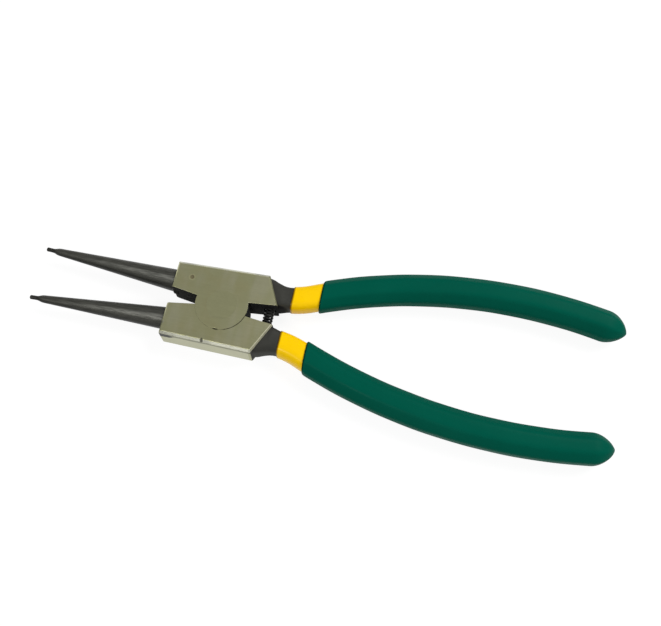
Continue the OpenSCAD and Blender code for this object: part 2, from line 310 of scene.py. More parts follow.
class Wiring:
    """Short-hand for adding and linking the nodes of one tree."""

    spot_core: float = 0.45

    def __init__(self, tree: NodeTree) -> None:
        """Works on the given tree."""
        self.tree = tree

    def node(self, kind: str, **settings: object) -> Node:
        """Adds a node and sets its properties."""
        made = self.tree.nodes.new(kind)
        for name, value in settings.items():
            setattr(made, name, value)
        return made

    def feed(self, socket: NodeSocket, value: Feed) -> None:
        """Links a socket to another one, or sets it to a constant."""
        if isinstance(value, NodeSocket):
            self.tree.links.new(value, socket)
        else:
            socket.default_value = value

    def math(self, operation: str, *values: Feed) -> NodeSocket:
        """Result of a Math node."""
        made = self.node("ShaderNodeMath", operation=operation)
        for socket, value in zip(made.inputs, values):
            self.feed(socket, value)
        return made.outputs[0]

    def plus(self, a: Feed, b: Feed) -> NodeSocket:
        """Sum of two values."""
        return self.math("ADD", a, b)

    def minus(self, a: Feed, b: Feed) -> NodeSocket:
        """Difference of two values."""
        return self.math("SUBTRACT", a, b)

    def times(self, a: Feed, b: Feed) -> NodeSocket:
        """Product of two values."""
        return self.math("MULTIPLY", a, b)

    def size(self, value: Feed) -> NodeSocket:
        """Value without its sign."""
        return self.math("ABSOLUTE", value)

    def either(self, a: Feed, b: Feed) -> NodeSocket:
        """Larger one of two masks."""
        return self.math("MAXIMUM", a, b)

    def inverse(self, mask: Feed) -> NodeSocket:
        """What a mask leaves free."""
        return self.minus(1.0, mask)

    def between(self, value: Feed, low: Feed, high: Feed) -> NodeSocket:
        """Smooth step from 0 at low to 1 at high."""
        made = self.node("ShaderNodeMapRange", interpolation_type="SMOOTHSTEP")
        for socket, given in zip(made.inputs, (value, low, high)):
            self.feed(socket, given)
        return made.outputs[0]

    def mix(self, factor: Feed, a: Feed, b: Feed) -> NodeSocket:
        """Colour between a and b."""
        made = self.node("ShaderNodeMix", data_type="RGBA")
        for index, value in ((0, factor), (6, a), (7, b)):
            self.feed(made.inputs[index], value)
        return made.outputs[2]

    def blend(self, factor: Feed, a: Feed, b: Feed) -> NodeSocket:
        """Value between a and b."""
        made = self.node("ShaderNodeMix", data_type="FLOAT")
        for index, value in ((0, factor), (2, a), (3, b)):
            self.feed(made.inputs[index], value)
        return made.outputs[0]

    def shade(self, colour: Feed, factor: Feed) -> NodeSocket:
        """Colour made lighter or darker by a factor."""
        made = self.node("ShaderNodeVectorMath", operation="SCALE")
        self.feed(made.inputs[0], colour if isinstance(colour, NodeSocket) else colour[:3])
        self.feed(made.inputs["Scale"], factor)
        return made.outputs[0]

    def stretch(self, vector: Feed, scale: Sequence[float], turn: float = 0.0) -> NodeSocket:
        """Vector turned about Z, in degrees, and scaled along each axis."""
        made = self.node("ShaderNodeMapping")
        self.feed(made.inputs["Vector"], vector)
        made.inputs["Rotation"].default_value = (0, 0, math.radians(turn))
        made.inputs["Scale"].default_value = scale
        return made.outputs[0]

    def noise(self, vector: Feed, scale: Feed, detail: float) -> NodeSocket:
        """Value of a noise texture."""
        made = self.node("ShaderNodeTexNoise")
        for name, value in (("Vector", vector), ("Scale", scale), ("Detail", detail)):
            self.feed(made.inputs[name], value)
        return made.outputs["Fac"]

    def grain(self, vector: Feed, grain: Grain) -> NodeSocket:
        """Value of a grain."""
        return self.noise(self.stretch(vector, grain.density, grain.turn), 1.0, grain.detail)

    def patches(self, vector: Feed, grain: Grain) -> NodeSocket:
        """Mask of a grain."""
        return self.between(self.grain(vector, grain), *grain.band)

    def attribute(self, mark: Mark) -> NodeSocket:
        """Value of one of the piece's own attributes."""
        return self.node("ShaderNodeAttribute", attribute_name=mark.value).outputs["Fac"]

    def millimetres(self) -> NodeSocket:
        """Place on the piece, in millimetres of the frame."""
        return self.stretch(self.node("ShaderNodeTexCoord").outputs["Object"], (1 / MM,) * 3)

    def place(self) -> Place:
        """Place on the piece, as a whole and along each axis."""
        vector = self.millimetres()
        parts = self.node("ShaderNodeSeparateXYZ")
        self.feed(parts.inputs[0], vector)
        return Place(vector, *parts.outputs)

    def spot(self, vector: Feed, spot: Spot) -> NodeSocket:
        """Mask of a spot, soft at its rim."""
        made = self.node("ShaderNodeVectorMath", operation="DISTANCE")
        self.feed(made.inputs[0], self.stretch(vector, [1 / r for r in spot.reach]))
        made.inputs[1].default_value = [c / r for c, r in zip(spot.centre, spot.reach)]
        return self.between(made.outputs["Value"], 1.0, self.spot_core)

    def group(self, tree: NodeTree, **values: Feed) -> Node:
        """Adds a node group and feeds its inputs."""
        made = self.node("ShaderNodeGroup", node_tree=tree)
        for name, value in values.items():
            self.feed(made.inputs[name], value)
        return made


@dataclass
class SurfaceEffects:
    """Effects that more than one finish uses, each a node group that is built once."""

    scratch: Grain = Grain((0.25, 14.0, 14.0), turn=4, detail=4.0)
    sweep: Grain = Grain((0.12, 2.6, 2.6), turn=3)
    stray: Grain = Grain((0.3, 9.0, 9.0), turn=-38, band=(0.66, 0.74))
    scratch_share: float = 0.6
    stray_depth: float = 0.5
    cloud_share: float = 0.75
    cloud_detail: float = 4.0
    cloud_band: Span = (0.35, 0.7)
    speckle_fineness: float = 9.0
    speckle_detail: float = 2.0
    worn: Grain = Grain((0.9, 0.9, 0.9), detail=4.0, band=(0.4, 0.75))
    smear: Grain = Grain((0.1, 0.22, 0.22), turn=20, detail=5.0, band=(0.38, 0.66))
    dust: Grain = Grain((2.1, 2.1, 2.1), detail=1.0, band=(0.74, 0.8))

    def __post_init__(self) -> None:
        """Builds the groups."""
        self.grinding = self._group("grinding_marks", ["Fine", "Height"], self._grinding)
        self.mottling = self._group("mottling", ["Shade", "Cloud"], self._mottling, "Size")
        self.wear = self._group("worn_edges", ["Wear"], self._wear, "Edge")
        self.handling = self._group("handling_marks", ["Gloss", "Speck"], self._handling)

    @staticmethod
    def _group(name: str, outputs: Sequence[str], fill: Callable[[Wiring, Node, Node], None],
               extra: str = "") -> NodeTree:
        """Builds a group.

        Args:
            name: Name of the group.
            outputs: Names of its values.
            fill: Adds the nodes between the group's input and output nodes.
            extra: Name of an input value besides the vector.

        Returns:
            The group's tree.
        """
        tree = bpy.data.node_groups.new(name, "ShaderNodeTree")
        tree.interface.new_socket("Vector", in_out="INPUT", socket_type="NodeSocketVector")
        if extra:
            tree.interface.new_socket(extra, in_out="INPUT", socket_type="NodeSocketFloat")
        for output in outputs:
            tree.interface.new_socket(output, in_out="OUTPUT", socket_type="NodeSocketFloat")
        wiring = Wiring(tree)
        fill(wiring, wiring.node("NodeGroupInput"), wiring.node("NodeGroupOutput"))
        return tree

    def _grinding(self, w: Wiring, given: Node, result: Node) -> None:
        """Long scratches of a grinding wheel, crossed by a few short ones."""
        vector = given.outputs["Vector"]
        streaks = w.blend(self.scratch_share, w.grain(vector, self.sweep), w.grain(vector, self.scratch))
        stray = w.times(w.patches(vector, self.stray), self.stray_depth)
        w.feed(result.inputs["Fine"], streaks)
        w.feed(result.inputs["Height"], w.minus(streaks, stray))

    def _mottling(self, w: Wiring, given: Node, result: Node) -> None:
        """Cloudy change of tone over a few millimetres, and its finer speckle."""
        vector = given.outputs["Vector"]
        scale = w.math("DIVIDE", 1.0, given.outputs["Size"])
        cloud = w.noise(vector, scale, self.cloud_detail)
        speckle = w.noise(vector, w.times(scale, self.speckle_fineness), self.speckle_detail)
        w.feed(result.inputs["Shade"], w.blend(self.cloud_share, speckle, cloud))
        w.feed(result.inputs["Cloud"], w.between(cloud, *self.cloud_band))

    def _wear(self, w: Wiring, given: Node, result: Node) -> None:
        """Bare metal along an edge, broken up by use."""
        patches = w.patches(given.outputs["Vector"], self.worn)
        w.feed(result.inputs["Wear"], w.times(given.outputs["Edge"], patches))

    def _handling(self, w: Wiring, given: Node, result: Node) -> None:
        """Smears of handling that change the gloss, and specks of dust set in the surface."""
        vector = given.outputs["Vector"]
        w.feed(result.inputs["Gloss"], w.patches(vector, self.smear))
        w.feed(result.inputs["Speck"], w.patches(vector, self.dust))


@dataclass(frozen=True)
class Finish:
    """A finish: a material with one Principled shader."""

    name: str

    def start(self) -> tuple[Material, Wiring, Node]:
        """Makes the material with its shader.

        Returns:
            The material, its wiring and the Principled shader.
        """
        material = bpy.data.materials.new(self.name)
        material.use_nodes = True
        wiring = Wiring(material.node_tree)
        return material, wiring, material.node_tree.nodes["Principled BSDF"]

    @staticmethod
    def bump(w: Wiring, shader: Node, height: NodeSocket, depth: float) -> None:
        """Feeds a height to the shader's normal.

        Args:
            w: Wiring of the material.
            shader: The Principled shader.
            height: Height from 0 to 1.
            depth: What a height of 1 stands for, in millimetres.
        """
        made = w.node("ShaderNodeBump")
        made.inputs["Distance"].default_value = depth * MM
        w.feed(made.inputs["Height"], height)
        w.feed(shader.inputs["Normal"], made.outputs["Normal"])


@dataclass(frozen=True)
class GroundFinish(Finish):
    """Steel with the marks of a grinding wheel."""

    cloud_size: float = 5.5
    cloud_tone: Span = (0.86, 1.14)
    scratch_tone: Span = (0.9, 1.1)
    satin_gloss: Span = (0.27, 0.4)
    relief: float = 0.008

    def wheel_marks(self, w: Wiring, effects: SurfaceEffects,
                    vector: NodeSocket) -> tuple[Node, Node, NodeSocket]:
        """Adds the marks of the wheel.

        Args:
            w: Wiring of the material.
            effects: The shared effects.
            vector: Place in millimetres.

        Returns:
            The grinding, the mottling, and the tone that both give.
        """
        grinding = w.group(effects.grinding, Vector=vector)
        mottling = w.group(effects.mottling, Vector=vector, Size=self.cloud_size)
        tone = w.times(w.blend(mottling.outputs["Shade"], *self.cloud_tone),
                       w.blend(grinding.outputs["Fine"], *self.scratch_tone))
        return grinding, mottling, tone


@dataclass(frozen=True)
class HeadMasks:
    """Masks of a forging's surfaces.

    Attributes:
        ground: Faces that were ground.
        edge: Edges that wear.
        rear: Broken edges at the rear of the head, where light and shade are painted.
        outer: Outer side with its chamfers.
        below: What lies under the chamfers of the outer side.
        deep: Inner faces, where shade is painted.
    """

    ground: NodeSocket
    edge: NodeSocket
    rear: NodeSocket
    outer: NodeSocket
    below: NodeSocket
    deep: NodeSocket


@dataclass(frozen=True)
class TipMasks:
    """Masks of a turned tip.

    Attributes:
        on: The tip itself.
        highlight_streak: Painted highlight in a streak along it.
        lines: Lengthwise lines.
        tone: Painted shade, darker on the lower side of the cone.
    """

    on: NodeSocket
    highlight_streak: NodeSocket
    lines: NodeSocket
    tone: NodeSocket


@dataclass(frozen=True)
class ForgedSteel(GroundFinish):
    """Ground satin head on a black oxide forging."""

    # Colours of the ground head, then of the oxide, then of the dirt; the flank, rear edge, jaw gap and
    # tip colours among them are painted light and shade
    ground: Colour = (0.50, 0.50, 0.285, 1)
    film: Colour = (0.45, 0.425, 0.225, 1)
    pale: Colour = (0.60, 0.585, 0.42, 1)
    shaded_flank: Colour = (0.41, 0.41, 0.262, 1)
    chamfer: Colour = (0.50, 0.50, 0.41, 1)
    painted_rear_shade: Colour = (0.20, 0.20, 0.12, 1)
    painted_rear_light: Colour = (0.50, 0.49, 0.36, 1)
    bright: Colour = (0.42, 0.42, 0.32, 1)
    black: Colour = (0.043, 0.043, 0.037, 1)
    turned_black: Colour = (0.070, 0.070, 0.060, 1)
    painted_highlight: Colour = (0.24, 0.24, 0.215, 1)
    painted_rear_gap_shade: Colour = (0.006, 0.006, 0.006, 1)
    painted_front_gap_shade: Colour = (0.020, 0.020, 0.016, 1)
    stain: Colour = (0.13, 0.105, 0.055, 1)
    oil: Colour = (0.045, 0.043, 0.03, 1)

    # Grains, and the shares and tones that they give
    sheen: Grain = Grain((0.2, 0.075, 0.075), turn=-8, detail=2.0, band=(0.4, 0.76))
    blotch: Grain = Grain((0.16, 0.1, 0.1), band=(0.35, 0.6))
    turning: Grain = Grain((0.28, 2.4, 2.4), band=(0.3, 0.72))
    ragged: Grain = Grain((0.5, 1.3, 1.3), detail=4.0)
    creep: Grain = Grain((0.8, 0.8, 0.8))
    film_share: float = 0.6
    sheen_share: float = 0.5
    blotch_tone: Span = (0.72, 1.1)
    turned_tone: Span = (0.75, 1.3)
    forged_tone: Span = (0.5, 1.5)
    middle: Span = (-1.0, 1.0)

    # Where the masks of the head and of its missed skin begin and end, in millimetres
    rear_band: Span = (-0.7, -0.58)
    chamfer_band: Span = (4.02, 3.9)
    deep_band: Span = (3.9, 3.5)
    skin_band: Span = (3.0, 3.5)
    skin_stray: float = 0.8
    skin_front: Span = (-8.8, -11.6)
    front_stray: float = 4.0
    front_depth: float = 1.35
    skin_share: Span = (0.5, 1.0)

    # The tip: where it begins, then its painted highlight streak and painted shade, mostly in shares of
    # the cone's radius
    tip_band: Span = (-0.05, 0.05)
    streak_off: float = 0.2
    streak_band: Span = (0.27, 0.04)
    streak_rise: Span = (0.0, 0.2)
    streak_run: Span = (38.0, 12.0)
    streak_share: Span = (0.3, 1.0)
    painted_shade_band: Span = (0.35, 0.85)
    painted_shade_tone: Span = (0.3, 1.0)

    # Dirt, nicks, and the oil along the seam
    dimple_reach: Point = (1.1, 1.1, 1.1)
    edge_nick: Spot = Spot((-15.7, -8.8, 9.4), (0.5, 0.5, 0.5))
    edge_nick_share: float = 0.8
    seam_nick: Spot = Spot((0.06, -7.95, 9.5), (1.15, 0.38, 0.5))
    chamfer_pit: Spot = Spot((-3.1, -12.1, 9.1), (0.6, 0.95, 1.1))
    dirt_share: float = 0.85
    pit_depth: float = 6.0
    creep_reach: float = 0.35
    seam_width: float = 0.02
    seam_arc: Span = (-80.0, -6.0)
    seam_fade: float = 12.0
    seam_top: Span = (HEAD_T - 0.3, HEAD_T - 0.1)

    # Values for the shader
    specular: float = 0.25
    forged_metal: float = 0.5
    dirt_metal: float = 0.6
    forged_gloss: Span = (0.42, 0.6)
    deep_gloss: float = 0.95
    turned_gloss: Span = (0.44, 0.28)
    edge_gloss: float = 0.2
    dirt_gloss: float = 0.4

    def material(self, effects: SurfaceEffects, lever: "LeverForging") -> Material:
        """Builds the material.

        Args:
            effects: The shared effects.
            lever: The lever that wears it.

        Returns:
            The material.
        """
        material, w, shader = self.start()
        p = w.place()
        grinding, mottling, tone = self.wheel_marks(w, effects, p.vector)
        head = self._head(w, p, lever)
        tip = self._tip(w, p, lever)
        wear = w.group(effects.wear, Vector=p.vector, Edge=head.edge).outputs["Wear"]
        wear = w.times(wear, w.inverse(head.rear))
        bare = w.times(head.ground, w.inverse(self._skin(w, p, head)))
        dimple = Spot((*lever.dimple_at, HEAD_T - lever.dimple_depth / 2), self.dimple_reach)
        dirt = w.spot(p.vector, dimple)
        marks = w.either(w.spot(p.vector, self.seam_nick), w.spot(p.vector, self.chamfer_pit))

        satin = w.shade(self._satin(w, p, head, mottling.outputs["Cloud"]), tone)
        oxide = self._oxide(w, p, head.deep, tip, mottling.outputs["Shade"])
        colour = w.mix(wear, w.mix(bare, oxide, satin), self.bright)
        nick = w.times(w.spot(p.vector, self.edge_nick), self.edge_nick_share)
        colour = w.mix(nick, colour, self.bright)
        colour = w.mix(w.times(dirt, self.dirt_share), colour, self.stain)
        oily = w.either(w.times(marks, self.dirt_share), self._seam(w, p, lever))
        w.feed(shader.inputs["Base Color"], w.mix(oily, colour, self.oil))

        metal = w.blend(w.either(bare, wear), w.blend(head.deep, self.forged_metal, 0.0), 1.0)
        w.feed(shader.inputs["Metallic"], w.minus(metal, w.times(dirt, self.dirt_metal)))
        shader.inputs["Specular IOR Level"].default_value = self.specular

        forged_gloss = w.blend(mottling.outputs["Shade"], *self.forged_gloss)
        forged_gloss = w.blend(head.deep, forged_gloss, self.deep_gloss)
        oxide_gloss = w.blend(tip.on, forged_gloss, w.blend(tip.lines, *self.turned_gloss))
        gloss = w.blend(bare, oxide_gloss, w.blend(grinding.outputs["Fine"], *self.satin_gloss))
        gloss = w.plus(gloss, w.times(w.either(head.rear, head.edge), self.edge_gloss))
        w.feed(shader.inputs["Roughness"], w.plus(gloss, w.times(dirt, self.dirt_gloss)))

        rough = w.blend(tip.on, mottling.outputs["Shade"], tip.lines)
        height = w.blend(head.ground, rough, grinding.outputs["Height"])
        self.bump(w, shader, w.minus(height, w.times(marks, self.pit_depth)), self.relief)
        return material

    def _head(self, w: Wiring, p: Place, lever: "LeverForging") -> HeadMasks:
        """Masks of the forging's surfaces.

        Args:
            w: Wiring of the material.
            p: Place on the surface.
            lever: The lever, for the line of its rear side.

        Returns:
            The masks.
        """
        rear = lever.rear_outward
        out = w.plus(w.times(p.x, rear.x), w.times(w.size(p.y), rear.y))
        past_rear = w.minus(out, rear.dot(lever.rear_in))
        return HeadMasks(
            ground=w.attribute(Mark.GROUND),
            edge=w.attribute(Mark.WORN_EDGE),
            rear=w.between(past_rear, *self.rear_band),
            outer=w.attribute(Mark.OUTER_SIDE),
            below=w.between(w.size(w.minus(p.z, HALF_T)), *self.chamfer_band),
            deep=w.between(w.size(p.y), *self.deep_band))

    def _tip(self, w: Wiring, p: Place, lever: "LeverForging") -> TipMasks:
        """Masks of the turned tip, with its painted highlight and painted shade.

        Args:
            w: Wiring of the material.
            p: Place on the surface.
            lever: The lever, for the line of its cone.

        Returns:
            The masks.
        """
        tip = lever.tip
        run = tip.reach - lever.jaw_front
        ahead = w.minus(-lever.jaw_front, p.x)
        axis = w.plus(tip.base_out, w.times(ahead, (tip.end_out - tip.base_out) / run))
        across = w.minus(p.y, w.times(w.math("SIGN", p.y), axis))
        taper = (tip.base_d - tip.end_d) / 2 / run
        radius = w.minus(tip.base_d / 2, w.times(ahead, taper))
        # Painted highlight: a streak along each cone, a little towards -Y and above its axis
        off = w.size(w.plus(w.math("DIVIDE", across, radius), self.streak_off))
        rise = w.math("DIVIDE", w.minus(p.z, HALF_T), radius)
        streak = w.times(w.between(off, *self.streak_band), w.between(rise, *self.streak_rise))
        streak = w.times(streak, w.between(ahead, *self.streak_run))
        lines = w.patches(p.vector, self.turning)
        # The tone is painted shade: each cone darker on its lower side
        return TipMasks(
            on=w.between(ahead, *self.tip_band),
            highlight_streak=w.times(streak, w.blend(lines, *self.streak_share)),
            lines=lines,
            tone=w.blend(w.between(rise, *self.painted_shade_band), *self.painted_shade_tone))

    def _satin(self, w: Wiring, p: Place, head: HeadMasks, cloud: NodeSocket) -> NodeSocket:
        """Colour of the ground head, with painted light and shade on its flank and rear edges.

        Args:
            w: Wiring of the material.
            p: Place on the surface.
            head: Masks of its surfaces.
            cloud: Mask of the mottling.

        Returns:
            The colour.
        """
        face = w.mix(w.times(cloud, self.film_share), self.ground, self.film)
        face = w.mix(w.times(w.patches(p.vector, self.sheen), self.sheen_share), face, self.pale)
        # Painted shade on the rear edges of the upper lever, painted light on those of the lower one
        broken = w.mix(w.between(p.y, *self.middle), self.painted_rear_light, self.painted_rear_shade)
        face = w.mix(head.rear, face, broken)
        chamfer = w.shade(self.chamfer, w.blend(w.patches(p.vector, self.blotch), *self.blotch_tone))
        face = w.mix(w.times(head.outer, w.inverse(head.below)), face, chamfer)
        # Painted shade: the outer side under its chamfers takes a darker copy of the ground steel
        return w.mix(w.times(head.outer, head.below), face, self.shaded_flank)

    def _oxide(self, w: Wiring, p: Place, deep: NodeSocket, tip: TipMasks,
               shade: NodeSocket) -> NodeSocket:
        """Colour of the black oxide, with painted shade and a painted highlight.

        Args:
            w: Wiring of the material.
            p: Place on the surface.
            deep: Mask of the inner faces, where shade is painted.
            tip: Masks of the turned tip.
            shade: Tone of the mottling.

        Returns:
            The colour.
        """
        # Painted shade on the inner faces of the jaw gap, darkest behind the pivot
        inner = w.mix(w.between(p.x, *self.middle), self.painted_front_gap_shade, self.painted_rear_gap_shade)
        forged = w.shade(w.mix(deep, self.black, inner), w.blend(shade, *self.forged_tone))
        # Turned steel with its lines, darkened by the painted shade on the cone's lower side
        lined_and_shaded = w.shade(self.turned_black, w.times(w.blend(tip.lines, *self.turned_tone), tip.tone))
        return w.mix(tip.on, forged, w.mix(tip.highlight_streak, lined_and_shaded, self.painted_highlight))

    def _skin(self, w: Wiring, p: Place, head: HeadMasks) -> NodeSocket:
        """Mask of the forging's skin that the wheel missed, under the chamfer of the outer side.

        Args:
            w: Wiring of the material.
            p: Place on the surface.
            head: Masks of its surfaces.

        Returns:
            The mask.
        """
        ragged = w.grain(p.vector, self.ragged)
        front = w.between(w.plus(p.x, w.times(ragged, self.front_stray)), *self.skin_front)
        rise = w.plus(w.minus(p.z, HALF_T), w.times(ragged, self.skin_stray))
        band = w.between(w.plus(rise, w.times(front, self.front_depth)), *self.skin_band)
        left = w.times(band, w.blend(front, *self.skin_share))
        return w.times(left, w.times(head.outer, head.below))

    def _seam(self, w: Wiring, p: Place, lever: "LeverForging") -> NodeSocket:
        """Mask of the oil that has crept out of the lap joint's seam on one arc.

        Args:
            w: Wiring of the material.
            p: Place on the surface.
            lever: The lever, for the size of its lap joint.

        Returns:
            The mask.
        """
        radius = w.math("SQRT", w.plus(w.times(p.x, p.x), w.times(p.y, p.y)))
        off = w.size(w.minus(radius, lever.lap_r + lever.lap_room))
        line = w.between(off, w.times(w.grain(p.vector, self.creep), self.creep_reach), self.seam_width)
        angle = w.math("ARCTAN2", p.y, p.x)
        start, end, soft = (math.radians(a) for a in (*self.seam_arc, self.seam_fade))
        arc = w.times(w.between(angle, start, start + soft), w.between(angle, end, end - soft))
        return w.times(w.times(line, arc), w.between(p.z, *self.seam_top))


@dataclass(frozen=True)
class GroundRivet(GroundFinish):
    """Rivet ground flush together with the head."""

    ground: Colour = (0.485, 0.485, 0.275, 1)

    def material(self, effects: SurfaceEffects) -> Material:
        """Builds the material from the shared effects."""
        material, w, shader = self.start()
        grinding, _, tone = self.wheel_marks(w, effects, w.millimetres())
        w.feed(shader.inputs["Base Color"], w.shade(self.ground, tone))
        shader.inputs["Metallic"].default_value = 1.0
        w.feed(shader.inputs["Roughness"], w.blend(grinding.outputs["Fine"], *self.satin_gloss))
        self.bump(w, shader, grinding.outputs["Height"], self.relief)
        return material


@dataclass(frozen=True)
class SpringWire(Finish):
    """Blackened wire, rubbed in places."""

    black: Colour = (0.012, 0.012, 0.012, 1)
    worn: Colour = (0.06, 0.058, 0.052, 1)
    worn_share: float = 0.35
    cloud_size: float = 1.6
    metallic: float = 0.3
    specular: float = 0.25
    gloss: Span = (0.4, 0.6)
    relief: float = 0.006

    def material(self, effects: SurfaceEffects) -> Material:
        """Builds the material from the shared effects."""
        material, w, shader = self.start()
        mottling = w.group(effects.mottling, Vector=w.millimetres(), Size=self.cloud_size)
        rubbed = w.times(mottling.outputs["Cloud"], self.worn_share)
        w.feed(shader.inputs["Base Color"], w.mix(rubbed, self.black, self.worn))
        shader.inputs["Metallic"].default_value = self.metallic
        shader.inputs["Specular IOR Level"].default_value = self.specular
        w.feed(shader.inputs["Roughness"], w.blend(mottling.outputs["Shade"], *self.gloss))
        self.bump(w, shader, mottling.outputs["Shade"], self.relief)
        return material


@dataclass(frozen=True)
class DippedVinyl(Finish):
    """Smooth satin vinyl, thin and darker along the edge of the dip."""

    colour: Colour
    thin: Colour
    gloss: Span
    specular: float
    thin_band: Span = (0.7, 0.175)
    cloud_size: float = 14.0
    cloud_tone: Span = (0.88, 1.12)
    speck_tone: float = 0.2
    speck_height: float = 0.4
    peel: Grain = Grain((0.9, 0.9, 0.9), detail=2.0)
    relief: float = 0.012

    def material(self, effects: SurfaceEffects) -> Material:
        """Builds the material from the shared effects."""
        material, w, shader = self.start()
        vector = w.millimetres()
        mottling = w.group(effects.mottling, Vector=vector, Size=self.cloud_size)
        handling = w.group(effects.handling, Vector=vector)
        speck = handling.outputs["Speck"]
        tone = w.blend(mottling.outputs["Shade"], *self.cloud_tone)
        tone = w.minus(tone, w.times(speck, self.speck_tone))
        edge = w.between(w.attribute(Mark.FROM_LIP), *self.thin_band)
        w.feed(shader.inputs["Base Color"], w.mix(edge, w.shade(self.colour, tone), self.thin))
        w.feed(shader.inputs["Roughness"], w.blend(handling.outputs["Gloss"], *self.gloss))
        shader.inputs["Specular IOR Level"].default_value = self.specular
        height = w.plus(w.grain(vector, self.peel), w.times(speck, self.speck_height))
        self.bump(w, shader, height, self.relief)
        return material


@dataclass(frozen=True)
class Ring:
    """One ring of a skin along the handle.

    Attributes:
        at: Distance along the spine.
        cover: Thickness outside the steel.
        lean: Tilt along the spine for each millimetre across it.
        share: Size, where a rounded end shrinks it.
    """

    at: float
    cover: float = 0.0
    lean: float = 0.0
    share: float = 1.0


@dataclass(frozen=True)
class Handle:
    """The shank's spine and the section of the steel along it."""

    neck_x: float = 16.2
    neck_out: float = 7.1
    neck_r: float = 25.0
    neck_turn: float = math.radians(23)
    bow_r: float = 155.0
    reach: float = 121.0
    root_x: float = 9.5
    root_w: float = 8.4
    root_h: float = 8.2
    waist_w: float = 6.8
    waist_at: float = 3.6
    tang_w: float = 7.3
    tang_h: float = 6.7
    tang_taper: float = 40.0
    flare_run: float = 2.5
    heel: float = 1.0
    heel_run: float = 7.7
    inner_heel: float = 0.4
    inner_rise: float = 1.0
    inner_from: float = 0.4
    inner_to: float = 4.2
    grip_end: float = 7.0
    drip_room: float = 1.5
    drip_t: float = 0.35
    coat_t: float = 0.45
    grip_t: float = 0.55
    play: float = 0.06
    lean_run: float = 25.0
    steel_square: float = 4.2
    facet_edge: float = 28.0
    slow_wave: float = 0.21
    slow_share: float = 0.3
    quick_wave: float = 0.47
    quick_share: float = 0.2

    @property
    def neck_run(self) -> float:
        """Length of the neck's bend."""
        return self.neck_r * self.neck_turn

    @property
    def bow_centre(self) -> Vector:
        """Centre of the handle's bow."""
        turn = self.neck_turn
        start = Vector((self.neck_x + self.neck_r * math.sin(turn),
                        self.neck_out + self.neck_r * (1 - math.cos(turn))))
        return start + self.bow_r * Vector((math.sin(turn), -math.cos(turn)))

    @property
    def grip_tip(self) -> float:
        """Distance along the spine to the end of the grip."""
        return self.run_at(self.reach)

    @property
    def coat_tip(self) -> float:
        """Distance along the spine to the end of the first coat."""
        return self.grip_tip - self.grip_end + self.drip_room

    @property
    def tang_tip(self) -> float:
        """Distance along the spine to the end of the tang."""
        return self.coat_tip - self.coat_t - self.drip_t - self.play

    def bearing(self, s: float) -> float:
        """Direction of the spine at a distance along it, in radians from +X."""
        if s < 0:
            return 0.0
        if s < self.neck_run:
            return s / self.neck_r
        return self.neck_turn - (s - self.neck_run) / self.bow_r

    def point(self, s: float) -> Vector:
        """Point of the spine at a distance along it."""
        b = self.bearing(s)
        if s < 0:
            return Vector((self.neck_x + s, self.neck_out))
        if s < self.neck_run:
            return Vector((self.neck_x + self.neck_r * math.sin(b),
                           self.neck_out + self.neck_r * (1 - math.cos(b))))
        return self.bow_centre + self.bow_r * Vector((-math.sin(b), math.cos(b)))

    def run_at(self, x: float) -> float:
        """Distance along the spine at which it reaches x."""
        if x < self.neck_x + self.neck_r * math.sin(self.neck_turn):
            return self.neck_r * math.asin((x - self.neck_x) / self.neck_r)
        turned_by = self.neck_turn - math.asin((self.bow_centre.x - x) / self.bow_r)
        return self.neck_run + self.bow_r * turned_by

    def steel(self, s: float) -> Span:
        """Width and height of the steel at a distance along the spine."""
        if s < self.waist_at:
            flare = fade(self.waist_at - s, self.waist_at + self.flare_run)
            return lerp(self.waist_w, self.root_w, flare), lerp(self.tang_h, self.root_h, flare)
        k = min((s - self.waist_at) / self.tang_taper, 1)
        return lerp(self.waist_w, self.tang_w, k * (2 - k)), self.tang_h

    def dip_lean(self, s: float, edge: float) -> float:
        """Tilt of a coat's section behind the dip line at edge."""
        return math.tan(self.bearing(edge)) * max(0.0, 1 - (s - edge) / self.lean_run)

    def _rim(self, c: float, s: float, square: float, facet: float) -> float:
        """How far a section's rim lies out in the direction (c, s), as a share of its half sizes."""
        soft = self.facet_edge
        rounded = (abs(c) ** square + abs(s) ** square) ** (1 / square)
        cut = (abs(c) + abs(s)) / facet
        return (rounded ** soft + cut ** soft) ** (-1 / soft)

    def _thinning(self, at: float, turn: float) -> float:
        """Share from 0 to 1 by which a coat runs thinner, in waves along and round the handle."""
        slow = math.sin(self.slow_wave * at + 2 * turn)
        quick = math.sin(self.quick_wave * at - turn)
        return self.slow_share * (1 + slow) + self.quick_share * (1 + quick)

    def section(self, ring: Ring, square: float, sides: int, uneven: float = 0.0,
                facet: float = NO_FACET) -> list[Vector]:
        """Points of one ring.

        Args:
            ring: The ring.
            square: Squareness of the section: 2 is an ellipse, and more is nearer to a rectangle.
            sides: Count of points.
            uneven: How much thinner a coat may run in places, in millimetres.
            facet: Where a facet cuts the corners, as the sum of the shares across and up.

        Returns:
            The points.
        """
        points = []
        for i in range(sides):
            turn = math.tau * i / sides
            c, s = math.cos(turn), math.sin(turn)
            size = self._rim(c, s, square, facet)
            across, rise = c * size, s * size
            cover = ring.cover - uneven * self._thinning(ring.at, turn)
            at = ring.at + ring.lean * ring.share * across * (self.steel(ring.at)[0] / 2 + cover)
            wide, high = self.steel(at)
            swell = fade(self.inner_to - at, self.inner_to - self.inner_from)
            heel = self.inner_heel * swell
            if c > 0:
                heel = self.heel * fade(self.waist_at - at, self.heel_run)
            tall = min(high / 2 + self.inner_rise * swell * (1 - across) / 2, self.root_h / 2)
            u = across * ring.share * (wide / 2 + cover + heel)
            v = rise * ring.share * (tall + cover)
            p, b = self.point(at), self.bearing(at)
            points.append(Vector((p.x - math.sin(b) * u, p.y + math.cos(b) * u, v)))
        return points


